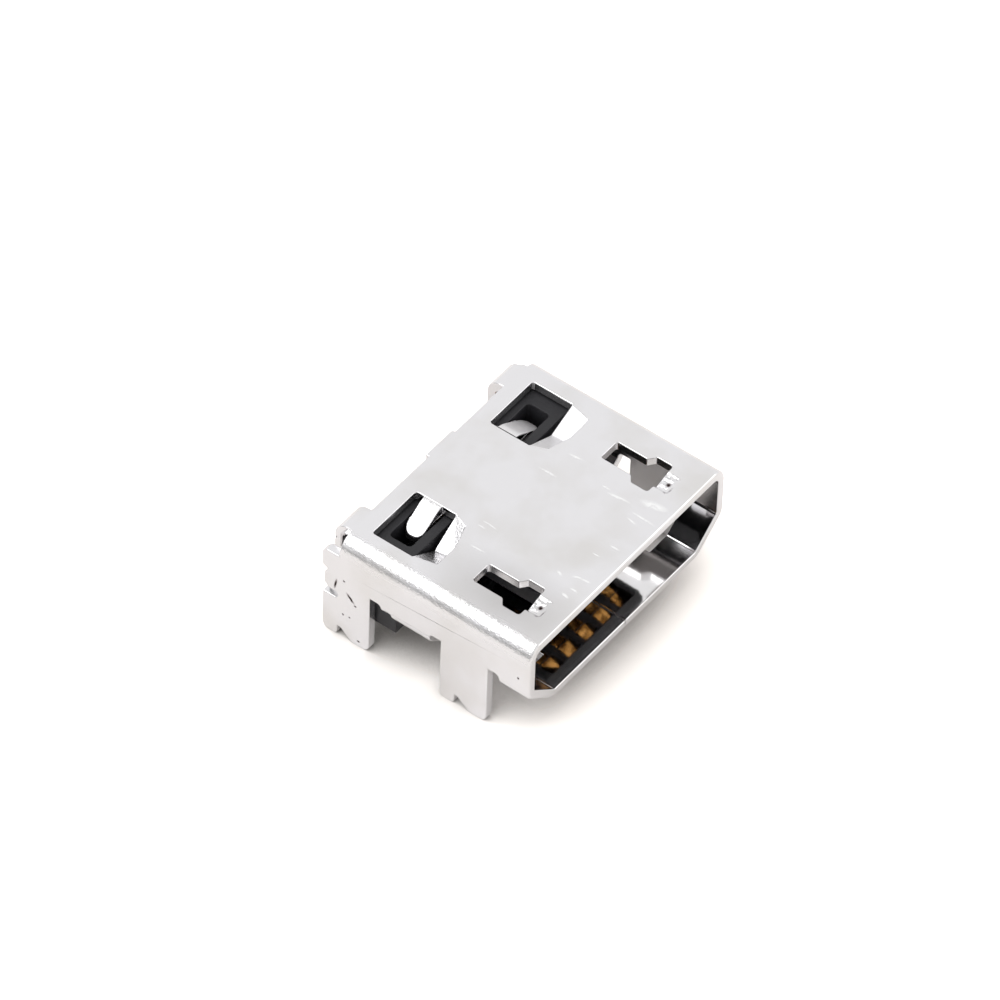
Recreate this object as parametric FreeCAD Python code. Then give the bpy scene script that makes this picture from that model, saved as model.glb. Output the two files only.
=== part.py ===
import FreeCAD, Part
import math
import os

# Charging port for a circuit board: one folded sheet shell on four through-board legs,
# a black moulded insulator with a tongue, and flat contacts under the tongue.
# Millimetres. +X is to the right seen into the opening, +Y runs into the port, +Z is up.
# The origin is under the middle of the port at the tips of its legs. A depth is measured
# from the front edge of the shell, and an edge size from the outer face of its side wall.

# Sheet shell
sheet = 0.25
opening_width = 6.90
opening_height = 1.85
side_straight = 1.20
slant_width = 0.77
top_bend = 0.20
low_bend = 0.12
rim_round = 0.08
shell_depth = 5.92
plate_recess = 0.44
stub_left = -0.35
stub_right = 0.65
stub_length = 0.08
stub_round = 0.04
floor_recess = 1.22
seam_gap = 0.03
dovetail_depth = 2.90
dovetail_reach = 0.55
dovetail_root = 0.60
dovetail_head = 0.90

# Legs in the plane of the side walls, lanced out of the slanted corners and the floor
leg_reach = 0.80
leg_width = 1.34
leg_front = 1.17
leg_rear = 0.03
leg_slot_margin = 0.32
leg_slot_floor = 0.66
leg_root_rise = 0.12
leg_root_round = 0.11
leg_foot = 0.42
leg_foot_round = 0.19
leg_notch_height = 0.28
leg_notch_width = 0.42
leg_notch_flat = 0.10
leg_notch_round = 0.07
leg_hook_round = 0.035
leg_prong_round = 0.16

# Rear corners: flaps of the roof behind the insulator, and ears on the side walls
flap_width = 0.80
flap_drop = 1.30
flap_bend = 0.15
corner_relief = 0.48
ear_top = 0.50
upper_ear_height = 0.66
lower_ear_height = 0.58
lower_ear_recess = 0.07
ear_wave = 0.22
ear_chamfer = 0.11
ear_round = 0.055
ear_slot = 0.20
ear_slot_depth = 0.45
ear_slot_round = 0.08

# Rear windows, each with a locking finger and a dimple pressed down at its front edge
rear_window_edge = 0.70
rear_window_width = 1.62
rear_window_recess = 0.89
rear_window_length = 1.15
window_round = 0.07
finger_gap = 0.23
finger_width = 0.52
finger_length_left = 0.95
finger_length_right = 1.16
finger_angle = 31.0
finger_bend = 0.25
finger_tip_round = 0.22
dimple_length = 0.53
dimple_inner_length = 0.38
dimple_valley_edge = 1.50
dimple_foot_edge = 1.54
dimple_taper = 0.14
dimple_lance = 0.05
dimple_drop_left = 0.52
dimple_drop_right = 0.36
dimple_front_drop = 0.07

# Latch windows, each with a coined lead-in at its front
latch_edge = 1.29
latch_front = 0.92
latch_width = 0.98
latch_length = 0.53
latch_rear_width = 0.61
latch_rear_length = 0.93
lead_in_width = 0.63
lead_in_length = 0.46
lead_in_drop = 0.17

# Insulator
fit = 0.03
block_recess = 0.32
block_length = 1.62
foot_width = 1.36
tongue_width = 3.50
tongue_tip = 0.76
tongue_gap = 0.28
tongue_thickness = 0.45
tongue_chamfer = 0.14
tongue_root_length = 0.42
tongue_root_width = 4.80
tongue_root_step = 0.30
tongue_root_drop = 0.30
pocket_margin = 0.08
pocket_length = 1.32
pocket_clearance = 0.05
pocket_round = 0.10
pocket_depth = 0.92
tail_recess = 0.42
tail_margin = 0.18

# Contacts
contact_count = 5
contact_pitch = 0.65
contact_width = 0.36
contact_thickness = 0.15
contact_setback = 0.20
contact_ramp = 0.30
contact_tip_rise = 0.14
contact_tip_gap = 0.05
contact_drop_recess = 0.70
contact_bend = 0.16

# Worked out from the sizes above
half_opening = opening_width / 2
half_width = half_opening + sheet
half_floor = half_opening - slant_width
floor_inside = leg_reach + sheet
roof_inside = floor_inside + opening_height
top = roof_inside + sheet
side_low = roof_inside - side_straight
front = -shell_depth / 2
past = sheet
behind = shell_depth + past
floor_depth = shell_depth - floor_recess
leg_starts = [leg_front, shell_depth - leg_rear - leg_width]
flap_outer = half_opening - top_bend
window_back = shell_depth - rear_window_recess
window_front = window_back - rear_window_length
window_outer = half_width - rear_window_edge
window_inner = window_outer - rear_window_width
dimple_valley = half_width - dimple_valley_edge
dimple_foot = half_width - dimple_foot_edge
finger_back = window_back - finger_gap
finger_front = finger_back - finger_width
latch_middle = half_width - latch_edge
bay_front = latch_front - lead_in_length
block_rear = shell_depth - block_recess
block_front = block_rear - block_length
foot_inner = half_opening - fit - foot_width
tongue_high = roof_inside - tongue_gap
tongue_low = tongue_high - tongue_thickness


def vector(x, depth, z):
    """Point at a depth behind the front edge of the shell."""
    return FreeCAD.Vector(x, front + depth, z)


def rounded_wire(corners, radii):
    """Closed wire through coplanar corners, each one turned by its own radius."""
    starts = []
    middles = []
    ends = []
    for i, here in enumerate(corners):
        back = (corners[i - 1] - here).normalize()
        ahead = (corners[(i + 1) % len(corners)] - here).normalize()
        half = back.getAngle(ahead) / 2
        run = radii[i] / math.tan(half)
        bow = radii[i] / math.sin(half) - radii[i]
        starts.append(here + back * run)
        middles.append(here + (back + ahead).normalize() * bow)
        ends.append(here + ahead * run)
    edges = []
    for i, end in enumerate(ends):
        if radii[i] > 0:
            edges.append(Part.Arc(starts[i], middles[i], end).toShape())
        following = starts[(i + 1) % len(corners)]
        edges.append(Part.LineSegment(end, following).toShape())
    return Part.Wire(edges)


def prism(corners, radii, run):
    """Solid drawn from a rounded outline."""
    return Part.Face(rounded_wire(corners, radii)).extrude(run)


def plan(points, radii, low, high):
    """Upright solid over an outline of (x, depth) points."""
    corners = [vector(x, depth, low) for x, depth in points]
    return prism(corners, radii, FreeCAD.Vector(0, 0, high - low))


def profile(points, radii, x_low, x_high):
    """Solid across the port over an outline of (depth, z) points."""
    corners = [vector(x_low, depth, z) for depth, z in points]
    return prism(corners, radii, FreeCAD.Vector(x_high - x_low, 0, 0))


def block(x_low, x_high, depth_low, depth_high, z_low, z_high):
    """Box between two corners."""
    size = (x_high - x_low, depth_high - depth_low, z_high - z_low)
    return Part.makeBox(*size, vector(x_low, depth_low, z_low))


def mirrored(shape):
    """The same shape on the left side."""
    return shape.mirror(FreeCAD.Vector(0, 0, 0), FreeCAD.Vector(1, 0, 0))


def both_sides(shapes):
    """Shapes of the right side with their mirror images."""
    return shapes + [mirrored(shape) for shape in shapes]


def direction(start, end):
    """Unit direction between two 2-D points."""
    length = math.hypot(end[0] - start[0], end[1] - start[1])
    return ((end[0] - start[0]) / length, (end[1] - start[1]) / length)


def bent_strip(path, radii, thickness):
    """Outline points and radii of a strip whose middle line is a path of 2-D points."""
    half = thickness / 2
    left = []
    right = []
    left_radii = []
    right_radii = []
    for i, here in enumerate(path):
        into = direction(path[i - 1], here) if i > 0 else direction(here, path[1])
        out = direction(here, path[i + 1]) if i < len(path) - 1 else into
        scale = half / (1 + into[0] * out[0] + into[1] * out[1])
        shift = (-(into[1] + out[1]) * scale, (into[0] + out[0]) * scale)
        turns_left = into[0] * out[1] - into[1] * out[0] > 0
        left.append((here[0] + shift[0], here[1] + shift[1]))
        right.append((here[0] - shift[0], here[1] - shift[1]))
        tight = radii[i] - half if radii[i] > 0 else 0
        wide = radii[i] + half if radii[i] > 0 else 0
        left_radii.append(tight if turns_left else wide)
        right_radii.append(wide if turns_left else tight)
    return left + right[::-1], left_radii + right_radii[::-1]


def shell_tube():
    """The folded section: flat roof, upright sides, slanted lower corners, flat floor."""
    corners = [
        vector(-half_opening, 0, roof_inside),
        vector(half_opening, 0, roof_inside),
        vector(half_opening, 0, side_low),
        vector(half_floor, 0, floor_inside),
        vector(-half_floor, 0, floor_inside),
        vector(-half_opening, 0, side_low),
    ]
    inside = rounded_wire(corners, [top_bend] * 2 + [low_bend] * 4)
    outside = inside.makeOffset2D(sheet)
    ring = Part.makeFace([outside, inside], "Part::FaceMakerBullseye")
    tube = ring.extrude(FreeCAD.Vector(0, shell_depth, 0))
    rim = min(tube.Faces, key=lambda face: face.CenterOfMass.y)
    return tube.makeFillet(rim_round, rim.OuterWire.Edges)


def rear_cuts():
    """What is cut away behind the roof and the floor, at the upper bends and round the feet."""
    relief = shell_depth - corner_relief
    plate_depth = shell_depth - plate_recess
    roof = block(-flap_outer, flap_outer, plate_depth, behind, roof_inside - past, top + past)
    bend = block(flap_outer, half_width + past, relief, behind, top - ear_top, top + past)
    floor = block(-half_width, half_width, floor_depth, behind, leg_reach - past, floor_inside + past)
    foot = block(foot_inner - fit, half_width + past, block_front - fit, behind, leg_reach - past, side_low)
    return [roof, floor] + both_sides([bend, foot])


def ear_cut():
    """Rear edge of the side wall: two rounded ears and the slot over the rear leg."""
    waist = shell_depth - ear_wave
    lower = shell_depth - lower_ear_recess
    slot_end = shell_depth - ear_slot_depth
    high = top - ear_top
    split = high - upper_ear_height
    low = split - lower_ear_height
    under = low - ear_slot
    points = [
        (shell_depth - ear_chamfer, high),
        (shell_depth, high - ear_chamfer),
        (shell_depth, split + ear_chamfer),
        (waist, split),
        (lower, split - ear_chamfer),
        (lower, low + ear_chamfer),
        (waist, low),
        (slot_end, low),
        (slot_end, under),
        (behind, under),
        (behind, high),
    ]
    upper_radii = [0, ear_round, ear_round, ear_round / 2]
    lower_radii = [ear_round, ear_round, 0, ear_slot_round, ear_slot_round, 0, 0]
    return profile(points, upper_radii + lower_radii, half_opening - past, half_width + past)


def leg_slot(leg_start):
    """Opening that a leg leaves in the slanted corner and the floor, with its root reliefs."""
    start = leg_start - leg_slot_margin
    end = leg_start + leg_width + leg_slot_margin
    low = block(half_floor - leg_slot_floor, half_width + past, start, end, leg_reach - past, side_low)
    points = [
        (start, side_low - past),
        (end, side_low - past),
        (end, side_low + leg_root_rise),
        (start, side_low + leg_root_rise),
    ]
    radii = [0, 0, leg_root_round, leg_root_round]
    return low.fuse(profile(points, radii, half_opening - past, half_width + past))


def leg(start):
    """One leg: a flat blade with a foot behind, a hooked notch and a prong in front."""
    end = start + leg_width
    foot = end - leg_foot
    root = side_low + sheet
    points = [
        (start, root),
        (start, 0),
        (foot - leg_notch_width, 0),
        (foot - leg_notch_flat, leg_notch_height),
        (foot, leg_notch_height),
        (foot, 0),
        (end, 0),
        (end, root),
    ]
    prong_radii = [0, leg_prong_round, leg_prong_round]
    foot_radii = [leg_notch_round, leg_hook_round, leg_notch_round, leg_foot_round, 0]
    return profile(points, prong_radii + foot_radii, half_opening, half_width)


def rear_window():
    """Window over the insulator's pocket, square at its front, where the dimple is pressed."""
    points = [
        (window_inner, window_back),
        (window_inner, window_front),
        (window_outer, window_front),
        (window_outer, window_back),
    ]
    return plan(points, [window_round, 0, 0, window_round], roof_inside - past, top + past)


def latch_window():
    """Window for the plug's latch: narrow behind, wider in front, with the lead-in's bay."""
    r = window_round
    step = latch_front + latch_length
    back = step + latch_rear_length
    outline = [
        (lead_in_width, bay_front, r),
        (lead_in_width, latch_front, 0),
        (latch_width, latch_front, r),
        (latch_width, step - r, r),
        (latch_rear_width, step + r, r),
        (latch_rear_width, back, r),
    ]
    points = [(latch_middle + width / 2, depth) for width, depth, _ in outline]
    points += [(latch_middle - width / 2, depth) for width, depth, _ in outline[::-1]]
    radii = [radius for _, _, radius in outline]
    return plan(points, radii + radii[::-1], roof_inside - past, top + past)


def lead_in():
    """Coined lip at the front of the latch window, sloping down into it."""
    root = bay_front - sheet / 2
    points = [
        (root, top),
        (bay_front, top),
        (latch_front, top - lead_in_drop),
        (latch_front, roof_inside - lead_in_drop),
        (bay_front, roof_inside),
        (root, roof_inside),
    ]
    half = lead_in_width / 2
    return profile(points, [0] * len(points), latch_middle - half, latch_middle + half)


def finger(length):
    """Locking finger: rooted at the window's inner side and bent down into the pocket."""
    angle = math.radians(finger_angle)
    middle = top - sheet / 2
    root = window_inner - sheet
    bend = window_inner + finger_bend / 4
    reach = window_inner + length * math.cos(angle)
    path = [(root, middle), (bend, middle), (reach, middle - length * math.sin(angle))]
    outline, radii = bent_strip(path, [0, finger_bend + sheet / 2, 0], sheet)
    corners = [vector(x, finger_front, z) for x, z in outline]
    strip = prism(corners, radii, FreeCAD.Vector(0, finger_width, 0))
    shape = [
        (root - past, finger_front),
        (reach, finger_front),
        (reach, finger_back),
        (root - past, finger_back),
    ]
    return strip.common(plan(shape, [0, finger_tip_round, finger_tip_round, 0], leg_reach, top + past))


def dimple_rim():
    """Outline of the dimple in the roof, from the window's inner corner round to its outer one."""
    far = window_front - dimple_length
    return [
        (window_inner, window_front),
        (window_inner + dimple_taper, window_front - dimple_inner_length),
        (dimple_foot, far - dimple_lance),
        (window_outer - dimple_taper, far - dimple_lance),
        (window_outer, window_front),
    ]


def dimple_bay():
    """Room in the roof that a dimple takes."""
    return plan(dimple_rim(), [0] * len(dimple_rim()), roof_inside - past, top + past)


def dimple(drop):
    """Dimple that holds the insulator from the front: the roof pressed down to a valley."""
    rim = [vector(x, depth, top) for x, depth in dimple_rim()]
    edge = vector(dimple_valley, window_front, top - drop)
    foot = vector(dimple_foot, window_front - dimple_length, top - drop + dimple_front_drop)
    panels = [(rim[i], rim[i + 1], foot) for i in range(len(rim) - 1)]
    panels += [(rim[0], foot, edge), (foot, rim[-1], edge)]
    solids = []
    for corners in panels:
        face = Part.Face(Part.makePolygon([*corners, corners[0]]))
        solids.append(face.extrude(FreeCAD.Vector(0, 0, -sheet)))
    return solids[0].fuse(solids[1:])


def stub():
    """Stub on the rear edge where the shell was broken off its strip."""
    edge = shell_depth - plate_recess
    points = [
        (stub_left, edge - sheet),
        (stub_right, edge - sheet),
        (stub_right, edge + stub_length),
        (stub_left, edge + stub_length),
    ]
    return plan(points, [0, 0, stub_round, stub_round], roof_inside, top)


def flap():
    """Rear flap: a short strip of the roof bent down behind the insulator."""
    middle = top - sheet / 2
    face = shell_depth - sheet / 2
    root = shell_depth - plate_recess - sheet
    path = [(root, middle), (face, middle), (face, top - flap_drop)]
    outline, radii = bent_strip(path, [0, flap_bend + sheet / 2, 0], sheet)
    return profile(outline, radii, flap_outer - flap_width, flap_outer)


def seam():
    """Joint of the fold along the middle of the floor, locked by one dovetail."""
    half = seam_gap / 2
    low = leg_reach - past
    high = floor_inside + past
    rise = FreeCAD.Vector(0, 0, high - low)
    start = dovetail_depth - dovetail_root / 2
    end = dovetail_depth + dovetail_root / 2
    ahead = block(-half, half, -past, start + half, low, high)
    rest = block(-half, half, end - half, behind, low, high)
    head = dovetail_head / 2
    tab = [
        (-seam_gap, start),
        (0, start),
        (dovetail_reach, dovetail_depth - head),
        (dovetail_reach, dovetail_depth + head),
        (0, end),
        (-seam_gap, end),
    ]
    inner = rounded_wire([vector(x, depth, low) for x, depth in tab], [0] * len(tab))
    outer = inner.makeOffset2D(seam_gap, 2)
    ring = Part.Face(outer).extrude(rise).cut(Part.Face(inner).extrude(rise))
    right_of_seam = block(-half, half_floor, 0, shell_depth, low, high)
    return ahead.fuse([rest, ring.common(right_of_seam)])


def shell():
    """The whole folded shell."""
    body = shell_tube()
    windows = [rear_window(), latch_window(), dimple_bay()]
    slots = [leg_slot(start) for start in leg_starts]
    for cut in rear_cuts() + both_sides(windows + slots) + [seam()]:
        body = body.cut(cut)
    legs = [leg(start) for start in leg_starts]
    right = [finger(finger_length_right), dimple(dimple_drop_right)]
    left = [finger(finger_length_left), dimple(dimple_drop_left)]
    added = both_sides([lead_in(), flap()] + legs) + right + [mirrored(shape) for shape in left]
    for piece in added + [stub()]:
        body = body.fuse(piece)
    for cut in both_sides([ear_cut()]):
        body = body.cut(cut)
    return body.removeSplitter()


def contact(index):
    """One contact: lifted tip, contact face under the tongue, drop and tail on the board."""
    tip = tongue_tip + contact_setback
    run = tongue_low + contact_thickness / 2
    drop = shell_depth - contact_drop_recess
    tail = leg_reach + contact_thickness / 2
    path = [
        (tip, run + contact_tip_rise),
        (tip + contact_ramp, run),
        (drop, run),
        (drop, tail),
        (shell_depth, tail),
    ]
    bend = contact_bend + contact_thickness / 2
    outline, radii = bent_strip(path, [0, bend, bend, bend, 0], contact_thickness)
    x = (index - (contact_count - 1) / 2) * contact_pitch
    return profile(outline, radii, x - contact_width / 2, x + contact_width / 2)


def tip_recess(index):
    """Recess in the underside of the tongue, in which a contact's tip rises free."""
    tip = tongue_tip + contact_setback
    high = tongue_low + contact_tip_rise + contact_thickness
    half = contact_width / 2 + contact_tip_gap
    x = (index - (contact_count - 1) / 2) * contact_pitch
    return block(x - half, x + half, tip - contact_tip_gap, tip + contact_ramp, tongue_low - past, high)


def tongue():
    """Tongue with chamfered tip, and the thicker step where it leaves the block."""
    end = block_front + fit
    lean = tongue_tip + tongue_chamfer
    points = [
        (tongue_tip, tongue_low + tongue_chamfer),
        (lean, tongue_low),
        (end, tongue_low),
        (end, tongue_high),
        (lean, tongue_high),
        (tongue_tip, tongue_high - tongue_chamfer),
    ]
    blade = profile(points, [0] * len(points), -tongue_width / 2, tongue_width / 2)
    half = tongue_root_width / 2
    low = tongue_low - tongue_root_drop
    root = block(-half, half, block_front - tongue_root_length, end, low, tongue_high - tongue_root_step)
    return blade.fuse(root)


def pocket():
    """Pocket under the rear window that the finger bends down into."""
    ceiling = roof_inside - fit
    start = window_inner - pocket_margin
    end = start + pocket_length
    points = [
        (start, finger_front - pocket_clearance),
        (end, finger_front - pocket_clearance),
        (end, finger_back + pocket_clearance),
        (start, finger_back + pocket_clearance),
    ]
    return plan(points, [pocket_round] * len(points), ceiling - pocket_depth, ceiling + past)


def insulator(contacts):
    """Black moulding round the contacts: rear block, feet, tongue and finger pockets."""
    half = half_opening - fit
    bottom = floor_inside + fit
    ceiling = roof_inside - fit
    section = [(-half, bottom), (half, bottom), (half, ceiling), (-half, ceiling)]
    corners = [vector(x, block_front, z) for x, z in section]
    body = prism(corners, [0, 0, top_bend, top_bend], FreeCAD.Vector(0, block_length, 0))
    foot = block(foot_inner, half, block_front, block_rear, leg_reach, bottom)
    middle = block(-foot_inner, foot_inner, floor_depth + fit, block_rear, leg_reach, bottom)
    body = body.fuse(both_sides([foot]) + [middle, tongue()])
    reach = (contact_count - 1) / 2 * contact_pitch + contact_width / 2 + tail_margin
    tails = block(-reach, reach, block_rear - tail_recess, behind, leg_reach - past, tongue_low)
    recesses = [tip_recess(i) for i in range(contact_count)]
    return body.cut(both_sides([pocket()]) + [tails] + recesses + contacts).removeSplitter()


os.makedirs("parts", exist_ok=True)
contacts = [contact(i) for i in range(contact_count)]
nodes = {"shell": shell(), "insulator": insulator(contacts)}
for i, piece in enumerate(contacts):
    nodes[f"contact_{i + 1}"] = piece
for name, shape in nodes.items():
    print(name, shape.ShapeType, len(shape.Solids), shape.isValid(), round(shape.Volume, 4))
    shape.exportStep(f"parts/{name}.step")
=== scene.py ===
import math

import bmesh
import bpy
from mathutils import Matrix, Vector, noise
from mathutils.bvhtree import BVHTree


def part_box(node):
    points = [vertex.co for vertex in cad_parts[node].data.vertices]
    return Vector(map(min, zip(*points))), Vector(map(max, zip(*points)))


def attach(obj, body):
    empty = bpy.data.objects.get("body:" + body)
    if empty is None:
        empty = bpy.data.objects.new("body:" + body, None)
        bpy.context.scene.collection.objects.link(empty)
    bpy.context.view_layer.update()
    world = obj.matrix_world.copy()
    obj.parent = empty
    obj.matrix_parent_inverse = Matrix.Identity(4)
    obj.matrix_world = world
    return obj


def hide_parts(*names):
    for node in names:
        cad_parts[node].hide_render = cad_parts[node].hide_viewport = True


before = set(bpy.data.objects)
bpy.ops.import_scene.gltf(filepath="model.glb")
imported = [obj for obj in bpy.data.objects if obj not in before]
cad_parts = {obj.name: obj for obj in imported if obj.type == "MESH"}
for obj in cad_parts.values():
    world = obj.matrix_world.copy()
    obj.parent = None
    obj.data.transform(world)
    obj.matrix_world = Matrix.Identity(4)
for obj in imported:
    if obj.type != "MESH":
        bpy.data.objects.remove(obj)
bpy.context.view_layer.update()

# Tolerances: how near two corners are one, how near a cut takes a corner, how flat faces are joined,
# and how far drawn normals part at an edge.
mm = 0.001
weld = 0.0005 * mm
touch = 0.0005 * mm
flat_angle = math.radians(0.5)
crease_angle = math.radians(6)

# Contacts: five flat strips stamped from copper alloy and gold plated, which lie in the
# underside of the tongue and end in tails for soldering. The insulator is moulded round them.
contact_edge = 0.05 * mm
gold_colour = "F2B566"
gold_worn_colour = "9A6A30"
gold_grain = 0.05 * mm
gold_wave = 0.20 * mm


def linear(code):
    """Linear colour of an sRGB hex value."""
    channels = [int(code[i:i + 2], 16) / 255 for i in (0, 2, 4)]
    return [c / 12.92 if c <= 0.04045 else ((c + 0.055) / 1.055) ** 2.4 for c in channels] + [1]


def add(tree, kind, inputs=None, **settings):
    """Adds a node with its settings, and gives each input a value or a link."""
    node = tree.nodes.new(kind)
    for name, value in settings.items():
        setattr(node, name, value)
    for socket, value in (inputs or {}).items():
        if isinstance(value, bpy.types.NodeSocket):
            tree.links.new(value, node.inputs[socket])
        else:
            node.inputs[socket].default_value = value
    return node


def new_material(name):
    """Empty node material and the output node that its surface goes to."""
    material = bpy.data.materials.new(name)
    material.use_nodes = True
    material.node_tree.nodes.clear()
    return material, add(material.node_tree, "ShaderNodeOutputMaterial")


def joined(node, divisions):
    """Closed mesh of a node from its loose triangles, with each flat face made whole again.
    Upright cuts at the x places given run through its windows, so that no face keeps a hole."""
    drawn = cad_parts[node].data.copy()
    normals = drawn.attributes.new("drawn_normal", "FLOAT_VECTOR", "CORNER")
    values = [value for corner in drawn.corner_normals for value in corner.vector]
    normals.data.foreach_set("vector", values)
    form = bmesh.new()
    form.from_mesh(drawn)
    bpy.data.meshes.remove(drawn)
    bmesh.ops.remove_doubles(form, verts=form.verts, dist=weld)
    for x in divisions:
        whole = form.verts[:] + form.edges[:] + form.faces[:]
        cut = bmesh.ops.bisect_plane(form, geom=whole, dist=touch, plane_co=(x, 0, 0), plane_no=(1, 0, 0))
        for part in cut["geom_cut"]:
            if isinstance(part, bmesh.types.BMEdge):
                part.seam = True
    bmesh.ops.dissolve_limit(form, angle_limit=flat_angle, verts=form.verts, edges=form.edges,
                             delimit={"SEAM"})
    return form


def is_crease(edge, normals):
    """Whether the drawn normals on the two sides of an edge part, as they do where surfaces meet."""
    sides = [{loop.vert: loop[normals] for loop in face.loops} for face in edge.link_faces]
    return any(sides[0][vert].angle(sides[1][vert], 0) > crease_angle for vert in edge.verts)


def finish_piece(form, name, node, materials, edge_size):
    """Turns a mesh into the piece that stands for a node, with its real edges rounded by a size. Where
    the rounding runs past the surface, its points go back to it, and none lies outside the node's box."""
    normals = form.loops.layers.float_vector["drawn_normal"]
    weights = form.edges.layers.float.new("bevel_weight_edge")
    for edge in form.edges:
        edge.smooth = not is_crease(edge, normals)
        edge.seam = False
        edge[weights] = 0 if edge.smooth else 1
    for face in form.faces:
        face.smooth = True
    form.loops.layers.float_vector.remove(normals)
    surface = BVHTree.FromBMesh(form)
    mesh = bpy.data.meshes.new(name)
    form.to_mesh(mesh)
    form.free()
    for material in materials:
        mesh.materials.append(material)
    piece = bpy.data.objects.new(name, mesh)
    bpy.context.scene.collection.objects.link(piece)
    rounding = piece.modifiers.new("rounded edges", "BEVEL")
    rounding.width = edge_size
    rounding.segments = 3
    rounding.limit_method = "WEIGHT"
    rounding.use_clamp_overlap = False
    rounding.harden_normals = True
    shown = piece.evaluated_get(bpy.context.evaluated_depsgraph_get())
    rounded = bpy.data.meshes.new_from_object(shown)
    piece.modifiers.clear()
    piece.data = rounded
    low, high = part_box(node)
    for vert in rounded.vertices:
        spot, _, _, away = surface.find_nearest(vert.co)
        place = spot if away > edge_size / 2 else vert.co
        vert.co = [min(max(place[i], low[i]), high[i]) for i in range(3)]
    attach(piece, "root")
    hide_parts(node)


def gold_plating():
    """Thin gold on copper alloy: warm and slightly uneven, so it shines without a sharp image. Its waves
    and its grain are drawn coarser than the real ones, which are too fine to show."""
    material, output = new_material("gold_plating")
    tree = material.node_tree
    place = add(tree, "ShaderNodeTexCoord").outputs["Object"]
    grain = add(tree, "ShaderNodeTexNoise", {"Vector": place, "Scale": 1 / gold_grain, "Detail": 3})
    wave = add(tree, "ShaderNodeTexNoise", {"Vector": place, "Scale": 1 / gold_wave, "Detail": 1})
    worn = add(tree, "ShaderNodeMapRange", {"Value": wave.outputs["Fac"],
                                            "From Min": 0.36, "From Max": 0.62})
    colour = add(tree, "ShaderNodeMix", {"Factor": worn.outputs["Result"], "A": linear(gold_colour),
                                         "B": linear(gold_worn_colour)}, data_type="RGBA")
    bump = add(tree, "ShaderNodeBump", {"Height": grain.outputs["Fac"],
                                        "Distance": 0.002 * mm, "Strength": 0.4})
    waved = add(tree, "ShaderNodeBump", {"Height": wave.outputs["Fac"], "Distance": 0.03 * mm,
                                         "Normal": bump.outputs["Normal"]})
    surface = add(tree, "ShaderNodeBsdfPrincipled", {"Base Color": colour.outputs["Result"], "Metallic": 1,
                                                     "Roughness": 0.25, "Normal": waved.outputs["Normal"]})
    tree.links.new(surface.outputs["BSDF"], output.inputs["Surface"])
    return material


gold = gold_plating()
contact_lines = []
for node in sorted(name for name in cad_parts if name.startswith("contact")):
    low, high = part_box(node)
    contact_lines.append((low.x + high.x) / 2)
    finish_piece(joined(node, []), f"gold_{node}", node, [gold], contact_edge)

# Insulator: one black moulding of glass-filled nylon, pushed into the shell from behind. It has
# the tongue, the feet that stand on the board, and the pockets that the locking fingers bend into.
insulator_edge = 0.025 * mm
pocket_line = 2.0 * mm
nylon_colour = "121214"
nylon_pale_colour = "232328"
nylon_grain = 0.035 * mm
nylon_flow = 0.8 * mm


def moulded_nylon():
    """Glass-filled nylon as moulded: near black, with a fine matt grain and a soft shine on its ledges."""
    material, output = new_material("glass_filled_nylon")
    tree = material.node_tree
    place = add(tree, "ShaderNodeTexCoord").outputs["Object"]
    grain = add(tree, "ShaderNodeTexNoise", {"Vector": place, "Scale": 1 / nylon_grain, "Detail": 2})
    flow = add(tree, "ShaderNodeTexNoise", {"Vector": place, "Scale": 1 / nylon_flow, "Detail": 4})
    colour = add(tree, "ShaderNodeMix", {"Factor": flow.outputs["Fac"], "A": linear(nylon_colour),
                                         "B": linear(nylon_pale_colour)}, data_type="RGBA")
    rough = add(tree, "ShaderNodeMapRange", {"Value": flow.outputs["Fac"], "To Min": 0.5, "To Max": 0.66})
    bump = add(tree, "ShaderNodeBump", {"Height": grain.outputs["Fac"],
                                        "Distance": 0.004 * mm, "Strength": 0.35})
    surface = add(tree, "ShaderNodeBsdfPrincipled", {"Base Color": colour.outputs["Result"],
                                                     "Roughness": rough.outputs["Result"],
                                                     "Normal": bump.outputs["Normal"]})
    tree.links.new(surface.outputs["BSDF"], output.inputs["Surface"])
    return material


moulded = joined("insulator", [-pocket_line, *contact_lines, pocket_line])
finish_piece(moulded, "moulded_insulator", "insulator", [moulded_nylon()],
             insulator_edge)

# Shell: one strip of tin-plated stainless sheet, blanked with its windows, fingers and legs, then
# folded round the insulator until its ends meet in the dovetail seam under the floor.
sheet = 0.25 * mm
opening_width = 6.90 * mm
opening_height = 1.85 * mm
side_straight = 1.20 * mm
slant_width = 0.77 * mm
top_bend = 0.20 * mm
low_bend = 0.12 * mm
shell_edge = 0.03 * mm
bend_step = math.radians(7.5)
outward_least = 0.3
roof_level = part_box("shell")[1].z - sheet
floor_level = roof_level - opening_height

# Rear windows, with the finger that is lanced from each and bent down into the insulator's pocket.
window_inner = 1.30 * mm
window_outer = 3.00 * mm
window_front = 0.30 * mm
window_back = 2.06 * mm
finger_reach = 0.60 * mm
root_width = 0.20 * mm
root_gap = 0.004 * mm

# Plating and wear, with painted shade and painted glints.
grain_sizes = (0.05 * mm, 0.80 * mm, 0.05 * mm)
stain_size = 1.6 * mm
steel_colour = "E9E8EA"
steel_stain_colour = "E0DEDD"
# Painted shade on the left front of the roof: its colour, its middle and its half sizes.
steel_shaded_colour = "CBC9C9"
shade_patch_centre = (-2.75 * mm, -1.55 * mm, 3.15 * mm)
shade_patch_halves = (1.30 * mm, 2.40 * mm, 0.14 * mm)
# Painted glint of the scratches.
scratch_glint_colour = "FCFCFC"
# Painted shade of the dents in the left wall and of the pits in the lead-ins.
dent_and_pit_shade_colour = "4A3B3A"
ragged_size = 0.06 * mm
ragged_reach = 0.04 * mm
mark_depth = 1.0
dent_depth = 0.1

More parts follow.
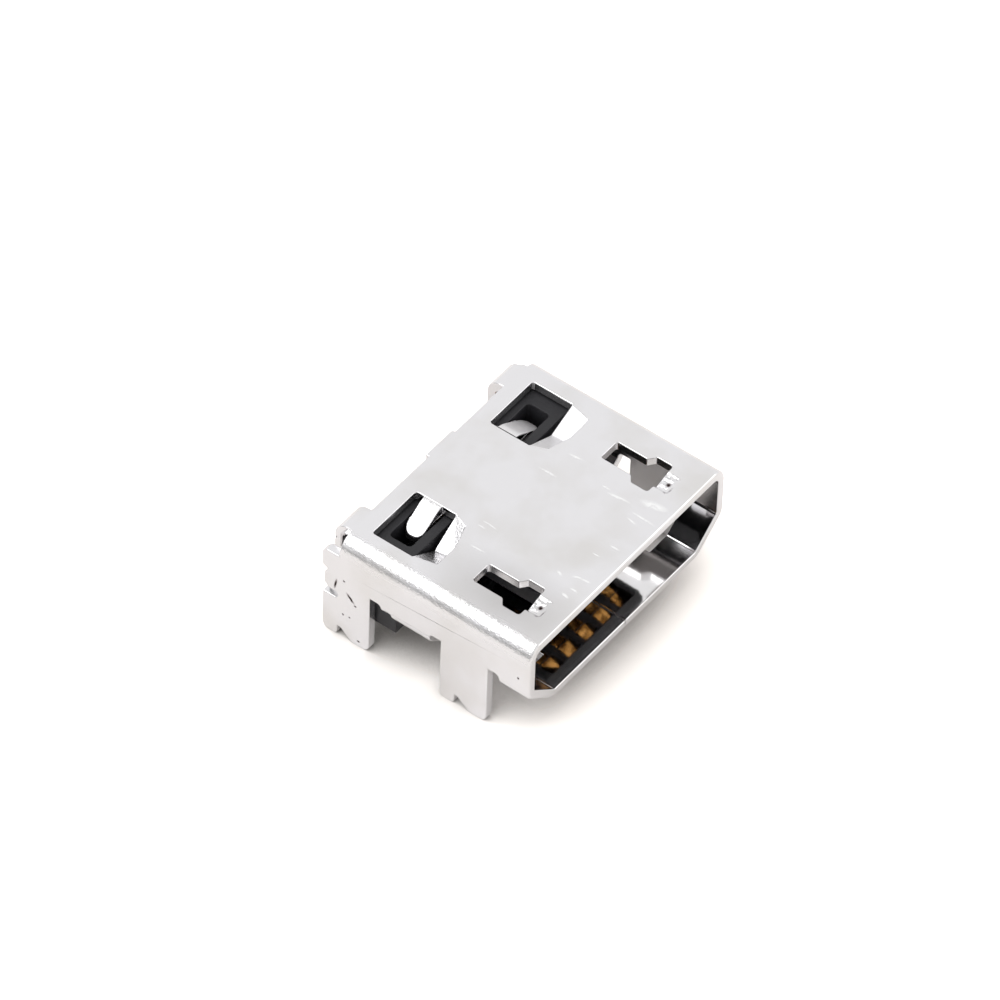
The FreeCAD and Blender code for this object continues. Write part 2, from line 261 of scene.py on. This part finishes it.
# Lead-ins at the front of the latch windows. A pit has its place from the left and front, and its size.
latch_edge = 1.29 * mm
lip_front = 0.46 * mm
lip_width = 0.63 * mm
lip_length = 0.46 * mm
lip_slope_high = 0.97
lip_depth = 0.18 * mm
lip_step = 0.03 * mm
lip_drop = 0.14 * mm
lip_shoulder = 0.15 * mm
lip_fall = 0.50 * mm
lip_dent = 0.012 * mm
lip_dent_size = 0.06 * mm
lip_pit_depth = 0.03 * mm
lip_pits = [(0.34 * mm, 0.235 * mm, 0.055 * mm), (0.05 * mm, 0.13 * mm, 0.03 * mm)]

# Scratches on the roof, real marks coloured near white as painted glints: x and y of the middle, half width
# and half length in mm, and turn in degrees.
scratches = [
    (1.76, -0.12, 0.035, 0.17, 3),
    (0.99, 0.10, 0.03, 0.21, 1),
    (-1.13, 0.15, 0.025, 0.18, -3),
    (-1.29, 0.26, 0.025, 0.09, 0),
    (-1.88, -0.08, 0.025, 0.18, 1),
    (1.44, -1.22, 0.025, 0.10, 0),
    (1.37, -1.62, 0.04, 0.27, 6),
    (1.67, -2.41, 0.10, 0.30, 11),
    (1.20, -2.44, 0.03, 0.29, -2),
    (0.98, -2.29, 0.025, 0.12, -11),
    (0.08, -2.49, 0.03, 0.12, 0),
    (-0.35, -2.28, 0.02, 0.09, 3),
    (-1.31, -1.98, 0.035, 0.08, -25),
    (-1.16, -2.36, 0.03, 0.10, 20),
    (-1.13, -2.58, 0.03, 0.12, 8),
    (-1.52, -2.55, 0.03, 0.10, 0),
    (-1.77, -2.48, 0.04, 0.10, -11),
]

# Dents in the left wall, drawn only as dark colour, which is painted shade: y and z of the middle, half
# length and half height in mm, and turn in degrees.
dents = [
    (2.58, 1.70, 0.035, 0.17, 10),
    (2.34, 1.94, 0.035, 0.035, 0),
    (2.15, 1.48, 0.04, 0.16, -42),
    (2.01, 1.31, 0.04, 0.03, 0),
    (2.35, 0.80, 0.03, 0.03, 0),
    (2.17, 0.82, 0.03, 0.02, 0),
    (1.90, 0.19, 0.05, 0.03, 0),
    (-2.64, 2.14, 0.03, 0.04, 0),
    (-0.11, 2.36, 1.75, 0.006, -3.6),
]


def fold_bends():
    """Centre, radius inside and first and last direction of each bend of the section, right side."""
    side = opening_width / 2
    knee = Vector((side, roof_level - side_straight))
    slope = Vector((side - slant_width, floor_level)) - knee
    turn = math.atan2(-slope.x, -slope.y)
    upper = (Vector((side - top_bend, roof_level - top_bend)), top_bend, 0, math.pi / 2)
    run = low_bend * math.tan(turn / 2)
    middle = (Vector((side - low_bend, knee.y + run)), low_bend, -turn, 0)
    rest = math.pi / 2 - turn
    foot = side - slant_width - low_bend * math.tan(rest / 2)
    lower = (Vector((foot, floor_level + low_bend)), low_bend, -math.pi / 2, -turn)
    return [upper, middle, lower]


def round_bend(form, centre, radius, start, end, side):
    """Divides the strips of one bend finely, inside and outside, and moves the new points to its true arc."""
    middle = Vector((side * centre.x, 0, centre.y))

    def across(point):
        return Vector((side * (point.x - middle.x), point.z - middle.z))

    def bearing(point):
        offset = across(point)
        return math.atan2(offset.y, offset.x)

    for facing in (-1, 1):
        strips = []
        for face in form.faces:
            offset = across(face.calc_center_median())
            outward = across(face.normal + middle).dot(offset.normalized()) * facing
            apart = (offset.length - radius - sheet / 2) * facing
            if outward > outward_least and 0 < apart < sheet and start < math.atan2(offset.y, offset.x) < end:
                strips.append(face)
        bearings = sorted({round(bearing(vert.co), 3) for face in strips for vert in face.verts})
        for low, high in zip(bearings, bearings[1:]):
            steps = math.ceil((high - low) / bend_step)
            for i in range(1, steps):
                angle = low + (high - low) * i / steps
                spread = {part for face in strips for part in (*face.verts, *face.edges, face)}
                normal = Vector((-side * math.sin(angle), 0, math.cos(angle)))
                cut = bmesh.ops.bisect_plane(form, geom=list(spread), dist=touch,
                                             plane_co=middle, plane_no=normal)
                strips = [part for part in cut["geom"] if isinstance(part, bmesh.types.BMFace)]
                stretch = math.cos(angle - (low + high) / 2) / math.cos((high - low) / 2)
                for part in cut["geom_cut"]:
                    if isinstance(part, bmesh.types.BMVert):
                        part.co.x = middle.x + (part.co.x - middle.x) * stretch
                        part.co.z = middle.z + (part.co.z - middle.z) * stretch


def close_finger_roots(form):
    """Brings the start of each finger's bend up to the roof, which it misses by a hair."""
    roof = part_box("shell")[1].z
    roots = []
    for vert in form.verts:
        beside = window_inner < abs(vert.co.x) < window_inner + root_width
        if beside and window_front < vert.co.y < window_back and vert.co.z > roof - root_gap:
            vert.co.z = roof
            roots.append(vert)
    bmesh.ops.remove_doubles(form, verts=roots, dist=root_gap)


def soft_step(value):
    """Smooth rise from 0 to 1."""
    held = min(1, max(0, value))
    return held * held * (3 - 2 * held)


def refill_bay(form, middle, ahead, roof):
    """Takes out the flat lead-in at the front of a latch window, and closes the roof there with one face."""

    def in_bay(place):
        beside = abs(place.x - middle) < lip_width / 2 + touch
        along = ahead - touch < place.y < ahead + lip_length + touch
        return beside and along and place.z > roof - lip_depth

    bay = []
    for face in form.faces:
        place = face.calc_center_median()
        if in_bay(place) and place.y < ahead + lip_length - touch and face.normal.z < lip_slope_high:
            bay.append(face)
    bmesh.ops.delete(form, geom=bay, context="FACES")
    rim = [vert for vert in form.verts if in_bay(vert.co)]
    for vert in rim:
        vert.co.z = roof
    bmesh.ops.remove_doubles(form, verts=rim, dist=weld)
    rim = [vert for vert in rim if vert.is_valid]
    open_edges = {edge for vert in rim for edge in vert.link_edges if edge.is_boundary}
    return bmesh.ops.contextual_create(form, geom=list(open_edges))["faces"]


def press_lip(form, side):
    """Turns the lead-in of a latch window into a coined hollow with a soft rim and pits, whose darkness is
    painted shade. Its outermost step stays flat, so that the roof round it does too."""
    middle = side * (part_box("shell")[1].x - latch_edge)
    left = middle - lip_width / 2
    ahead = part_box("shell")[0].y + lip_front
    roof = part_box("shell")[1].z
    normals = form.loops.layers.float_vector["drawn_normal"]
    pit_shade = form.verts.layers.float["pit_shade"]
    lip = refill_bay(form, middle, ahead, roof)
    columns = range(1, round(lip_width / lip_step))
    rows = range(1, round(lip_length / lip_step))
    cuts = [(Vector((left + i * lip_step, 0, 0)), Vector((1, 0, 0))) for i in columns]
    cuts += [(Vector((0, ahead + i * lip_step, 0)), Vector((0, 1, 0))) for i in rows]
    for spot, normal in cuts:
        spread = {part for face in lip for part in (*face.verts, *face.edges, face)}
        cut = bmesh.ops.bisect_plane(form, geom=list(spread), dist=touch, plane_co=spot, plane_no=normal)
        lip = [part for part in cut["geom"] if isinstance(part, bmesh.types.BMFace)]
    for vert in {vert for face in lip for vert in face.verts}:
        u, v = vert.co.x - left, vert.co.y - ahead
        drop = lip_drop * soft_step(u / lip_shoulder) * soft_step(v / lip_shoulder)
        drop *= min(1, max(0, lip_width - u) / lip_fall) * (0.6 + 0.4 * v / lip_length)
        drop += lip_dent * noise.noise(Vector((u, v, side)) / lip_dent_size) * soft_step(drop / lip_dent)
        for spot_u, spot_v, size in lip_pits:
            depth = soft_step(1.5 - math.hypot(u - spot_u, v - spot_v) / size)
            # Painted shade: the pits are marked dark for the material.
            vert[pit_shade] = max(vert[pit_shade], depth)
            drop += lip_pit_depth * depth
        vert.co.z = roof - drop * soft_step(min(u, v, lip_width - u) / lip_step - 1)
    for face in lip:
        for loop in face.loops:
            loop[normals] = (0, 0, 1)


def marks(tree, place, spots):
    """Mask of small ovals, each with its middle and half sizes in mm and its turns in degrees."""
    mask = 0.0
    for middle, halves, turns in spots:
        oval = add(tree, "ShaderNodeMapping", {"Vector": place, "Location": [value * mm for value in middle],
                                               "Rotation": [math.radians(turn) for turn in turns],
                                               "Scale": [value * mm for value in halves]},
                   vector_type="TEXTURE")
        away = add(tree, "ShaderNodeVectorMath", {0: oval.outputs["Vector"]}, operation="LENGTH")
        inside = add(tree, "ShaderNodeMapRange", {"Value": away.outputs["Value"],
                                                  "From Min": 1.3, "From Max": 0.45})
        mask = add(tree, "ShaderNodeMath", {0: mask, 1: inside.outputs["Result"]},
                   operation="MAXIMUM").outputs[0]
    return mask


def plated_steel(name, smooth, rough, unevenness, uneven_size):
    """Tin-plated stainless sheet between two roughnesses: bright and nearly neutral. It has painted shade on
    the left front of the roof, real scratches there coloured near white as painted glints, and dents on the
    left wall and pits in the lead-ins coloured dark as painted shade. Bent metal is uneven by a depth and a
    size. The rolling grain is drawn coarser than the real one, which is too fine to show."""
    material, output = new_material(name)
    tree = material.node_tree
    place = add(tree, "ShaderNodeTexCoord").outputs["Object"]
    stain = add(tree, "ShaderNodeTexNoise", {"Vector": place, "Scale": 1 / stain_size, "Detail": 5})
    stained = add(tree, "ShaderNodeMapRange", {"Value": stain.outputs["Fac"],
                                               "From Min": 0.45, "From Max": 0.7})
    plain = add(tree, "ShaderNodeMix", {"Factor": stained.outputs["Result"], "A": linear(steel_colour),
                                        "B": linear(steel_stain_colour)}, data_type="RGBA")
    # Painted shade: an oval on the left front of the roof is coloured darker.
    reach = add(tree, "ShaderNodeMapping", {"Vector": place, "Location": shade_patch_centre, "Scale": shade_patch_halves},
                vector_type="TEXTURE").outputs["Vector"]
    away = add(tree, "ShaderNodeVectorMath", {0: reach}, operation="LENGTH").outputs["Value"]
    shade_patch = add(tree, "ShaderNodeMapRange", {"Value": away, "From Min": 1.0, "From Max": 0.1})
    roof_shaded = add(tree, "ShaderNodeMix", {"Factor": shade_patch.outputs["Result"], "A": plain.outputs["Result"],
                                         "B": linear(steel_shaded_colour)}, data_type="RGBA")
    ragged = add(tree, "ShaderNodeTexNoise", {"Vector": place, "Scale": 1 / ragged_size, "Detail": 3})
    moved = add(tree, "ShaderNodeVectorMath", {0: ragged.outputs["Color"], 1: [ragged_reach] * 3, 2: place},
                operation="MULTIPLY_ADD").outputs["Vector"]
    worn = add(tree, "ShaderNodeMapRange", {"Value": ragged.outputs["Fac"],
                                            "From Min": 0.30, "From Max": 0.50})
    wall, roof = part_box("shell")[0].x / mm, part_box("shell")[1].z / mm
    on_roof = [((x, y, roof), (width, length, mark_depth), (0, 0, turn))
               for x, y, width, length, turn in scratches]
    on_wall = [((wall, y, z), (dent_depth, length, height), (turn, 0, 0))
               for y, z, length, height, turn in dents]
    # Painted glints: the scratches are coloured near white for the light they catch.
    scratch_glint = add(tree, "ShaderNodeMath", {0: marks(tree, moved, on_roof), 1: worn.outputs["Result"]},
                 operation="MULTIPLY").outputs[0]
    scratched_glinting = add(tree, "ShaderNodeMix", {"Factor": scratch_glint, "A": roof_shaded.outputs["Result"],
                                            "B": linear(scratch_glint_colour)}, data_type="RGBA")
    # Painted shade: the dents in the left wall and the pits of the lead-ins are coloured dark.
    pit_shade = add(tree, "ShaderNodeAttribute", attribute_name="pit_shade").outputs["Fac"]
    dent_and_pit_shade = add(tree, "ShaderNodeMath", {0: marks(tree, moved, on_wall), 1: pit_shade},
               operation="MAXIMUM").outputs[0]
    colour = add(tree, "ShaderNodeMix", {"Factor": dent_and_pit_shade, "A": scratched_glinting.outputs["Result"],
                                         "B": linear(dent_and_pit_shade_colour)}, data_type="RGBA")
    stretched = add(tree, "ShaderNodeMapping", {"Vector": place,
                                                "Scale": [1 / size for size in grain_sizes]})
    grain = add(tree, "ShaderNodeTexNoise", {"Vector": stretched.outputs["Vector"],
                                             "Scale": 1, "Detail": 4})
    level = add(tree, "ShaderNodeMapRange", {"Value": grain.outputs["Fac"],
                                             "To Min": smooth, "To Max": rough})
    rougher = add(tree, "ShaderNodeMath", {0: level.outputs["Result"], 1: dent_and_pit_shade}, operation="MAXIMUM")
    bump = add(tree, "ShaderNodeBump", {"Height": grain.outputs["Fac"],
                                        "Distance": 0.001 * mm, "Strength": 0.3})
    hammered = add(tree, "ShaderNodeTexNoise", {"Vector": place, "Scale": 1 / uneven_size, "Detail": 2})
    uneven = add(tree, "ShaderNodeBump", {"Height": hammered.outputs["Fac"], "Distance": unevenness,
                                          "Normal": bump.outputs["Normal"]})
    surface = add(tree, "ShaderNodeBsdfPrincipled", {"Base Color": colour.outputs["Result"], "Metallic": 1,
                                                     "Roughness": rougher.outputs[0],
                                                     "Normal": uneven.outputs["Normal"]})
    tree.links.new(surface.outputs["BSDF"], output.inputs["Surface"])
    return material


window_line = 2.41 * mm
folded = joined("shell", [-window_line, window_line])
# Point attribute that carries the painted shade of the lead-in pits.
folded.verts.layers.float.new("pit_shade")
close_finger_roots(folded)
for centre, radius, start, end in fold_bends():
    for side in (-1, 1):
        round_bend(folded, centre, radius, start, end, side)
for side in (-1, 1):
    press_lip(folded, side)
inner_side = opening_width / 2
inside_finish, bent_finish, scuffed_finish = 1, 2, 3
for face in folded.faces:
    place = face.calc_center_median()
    inward = abs(place.x) < inner_side + touch and floor_level - touch < place.z < roof_level + touch
    worked = window_inner < abs(place.x) < window_outer and window_front < place.y < window_back
    corner = place.x < top_bend - inner_side and place.z > roof_level - top_bend
    if worked and roof_level - finger_reach < place.z < roof_level + sheet - touch:
        face.material_index = bent_finish if place.x > 0 else scuffed_finish
    elif inward:
        face.material_index = inside_finish
    elif corner:
        face.material_index = scuffed_finish
finish_piece(folded, "folded_shell", "shell",
             [plated_steel("tin_plated_steel", 0.16, 0.30, 0.002 * mm, 0.4 * mm),
              plated_steel("tin_plated_steel_inside", 0.05, 0.10, 0.001 * mm, 0.4 * mm),
              plated_steel("tin_plated_steel_bent", 0.45, 0.60, 0.010 * mm, 0.10 * mm),
              plated_steel("tin_plated_steel_scuffed", 0.20, 0.34, 0.010 * mm, 0.06 * mm)], shell_edge)

# Stage: a white table under a soft lamp in a black frame above the left, with a smaller lamp low in
# front of the right. The room is white all round, but for a dim stretch low on the left.
table_colour = "F7F6F5"
table_burnt_out = (1.88, 1.85, 1.82, 1)
shade_reach = 2.6 * mm
table_radius = 400 * mm
frame_colour = "202020"
frame_bar = 36 * mm
frame_distance = 296 * mm
lamp_direction = (-0.37, 0.38, 0.85)
lamp_distance = 300 * mm
lamp_width = 300 * mm
lamp_height = 200 * mm
lamp_power = 0.39
front_direction = (0.55, -0.74, 0.38)
front_width = 200 * mm
front_height = 120 * mm
front_power = 0.09
fill_colour = "FFFBF7"
fill_level = 0.86
room_level = 0.97
horizon_level = 0.35


def white_table():
    """Matt white card, which the camera sees burnt out, so that only the deeper shadow stays on it, with
    painted shade from ambient occlusion near the port.
    """
    material, output = new_material("white_card")
    tree = material.node_tree
    seen = add(tree, "ShaderNodeLightPath").outputs["Is Camera Ray"]
    card = add(tree, "ShaderNodeBsdfDiffuse", {"Color": linear(table_colour)})
    # Painted shade: ambient occlusion darkens the card near the port, as the camera sees it.
    contact_shade = add(tree, "ShaderNodeAmbientOcclusion", {"Color": table_burnt_out, "Distance": shade_reach},
                   samples=8)
    burnt_out = add(tree, "ShaderNodeBsdfDiffuse", {"Color": contact_shade.outputs["Color"]})
    both = add(tree, "ShaderNodeMixShader", {0: seen, 1: card.outputs[0], 2: burnt_out.outputs[0]})
    tree.links.new(both.outputs[0], output.inputs["Surface"])
    return material


def black_frame():
    """Matt black metal of the lamp's frame."""
    material, output = new_material("black_frame")
    paint = add(material.node_tree, "ShaderNodeBsdfDiffuse", {"Color": linear(frame_colour)})
    material.node_tree.links.new(paint.outputs[0], output.inputs["Surface"])
    return material


def surroundings():
    """White to the camera, an even fill for the shadows, and in reflections a room dim low on the left."""
    world = bpy.data.worlds.new("studio")
    bpy.context.scene.world = world
    world.use_nodes = True
    tree = world.node_tree
    tree.nodes.clear()
    path = add(tree, "ShaderNodeLightPath")
    toward = add(tree, "ShaderNodeTexCoord").outputs["Generated"]
    direction = add(tree, "ShaderNodeSeparateXYZ", {0: toward})
    low = add(tree, "ShaderNodeMapRange", {"Value": direction.outputs["Z"],
                                           "From Min": 0.42, "From Max": 0.24},
              interpolation_type="SMOOTHSTEP")
    left = add(tree, "ShaderNodeMapRange", {"Value": direction.outputs["X"],
                                            "From Min": -0.1, "From Max": -0.5},
               interpolation_type="SMOOTHSTEP")
    both = add(tree, "ShaderNodeMath", {0: low.outputs["Result"], 1: left.outputs["Result"]},
               operation="MULTIPLY")
    level = add(tree, "ShaderNodeMapRange", {"Value": both.outputs[0],
                                             "To Min": room_level, "To Max": horizon_level})
    fill = add(tree, "ShaderNodeBackground", {"Color": linear(fill_colour), "Strength": fill_level})
    room = add(tree, "ShaderNodeBackground", {"Color": (1, 1, 1, 1), "Strength": level.outputs["Result"]})
    white = add(tree, "ShaderNodeBackground", {"Color": (1, 1, 1, 1), "Strength": 1})
    lit = add(tree, "ShaderNodeMixShader", {0: path.outputs["Is Glossy Ray"],
                                            1: fill.outputs[0], 2: room.outputs[0]})
    seen = add(tree, "ShaderNodeMixShader", {0: path.outputs["Is Camera Ray"],
                                             1: lit.outputs[0], 2: white.outputs[0]})
    tree.links.new(seen.outputs[0], add(tree, "ShaderNodeOutputWorld").inputs["Surface"])


def lamp(name, direction, distance, width, height, power):
    """Soft rectangular lamp at a distance in a direction from the port, facing it."""
    light = bpy.data.lights.new(name, "AREA")
    light.shape = "RECTANGLE"
    light.size = width
    light.size_y = height
    light.energy = power
    holder = bpy.data.objects.new(name, light)
    bpy.context.scene.collection.objects.link(holder)
    toward = Vector(direction).normalized()
    holder.location = toward * distance
    holder.rotation_euler = toward.to_track_quat("Z", "Y").to_euler()


def staged(form, name, material):
    """Makes a mesh a thing of the studio, which is no part of the port."""
    mesh = bpy.data.meshes.new(name)
    form.to_mesh(mesh)
    form.free()
    mesh.materials.append(material)
    thing = bpy.data.objects.new(name, mesh)
    bpy.context.scene.collection.objects.link(thing)


surroundings()
card = bmesh.new()
bmesh.ops.create_circle(card, cap_ends=True, segments=64, radius=table_radius)
staged(card, "table", white_table())

bars = bmesh.new()
bmesh.ops.create_grid(bars, x_segments=1, y_segments=1, size=0.5)
bmesh.ops.scale(bars, vec=(lamp_width + 2 * frame_bar, lamp_height + 2 * frame_bar, 1), verts=bars.verts)
bmesh.ops.inset_individual(bars, faces=bars.faces, thickness=frame_bar)
middle = min(bars.faces, key=lambda face: face.calc_center_median().length)
bmesh.ops.delete(bars, geom=[middle], context="FACES")
toward = Vector(lamp_direction).normalized()
bmesh.ops.transform(bars, matrix=toward.to_track_quat("Z", "Y").to_matrix().to_4x4(), verts=bars.verts)
bmesh.ops.translate(bars, vec=toward * frame_distance, verts=bars.verts)
staged(bars, "lamp_frame", black_frame())
lamp("softbox", lamp_direction, lamp_distance, lamp_width, lamp_height, lamp_power)
lamp("front_card", front_direction, lamp_distance, front_width, front_height, front_power)

# Camera: a long lens from high on the left of the opening, looking down at the port, with a slight roll.
# It was fitted to the edges of the real port at its real size.
view_turn = math.radians(-54.105)
view_height = math.radians(47.697)
view_roll = math.radians(2.087)
view_distance = 226.7 * mm
view_target = Vector((-0.994, -0.016, 3.957)) * mm
view_lens = 360.2

level = Vector((math.cos(view_turn), math.sin(view_turn), 0))
back = Matrix.Rotation(-view_height, 3, level) @ Vector((math.sin(view_turn), -math.cos(view_turn), 0))
right = Matrix.Rotation(view_roll, 3, back) @ level
axes = Matrix((right, back.cross(right), back)).transposed()
camera = bpy.data.objects.new("camera", bpy.data.cameras.new("camera"))
bpy.context.scene.collection.objects.link(camera)
camera.data.lens = view_lens
camera.location = view_target + back * view_distance
camera.rotation_euler = axes.to_euler()
bpy.context.scene.camera = camera
bpy.context.scene.view_settings.view_transform = "Standard"
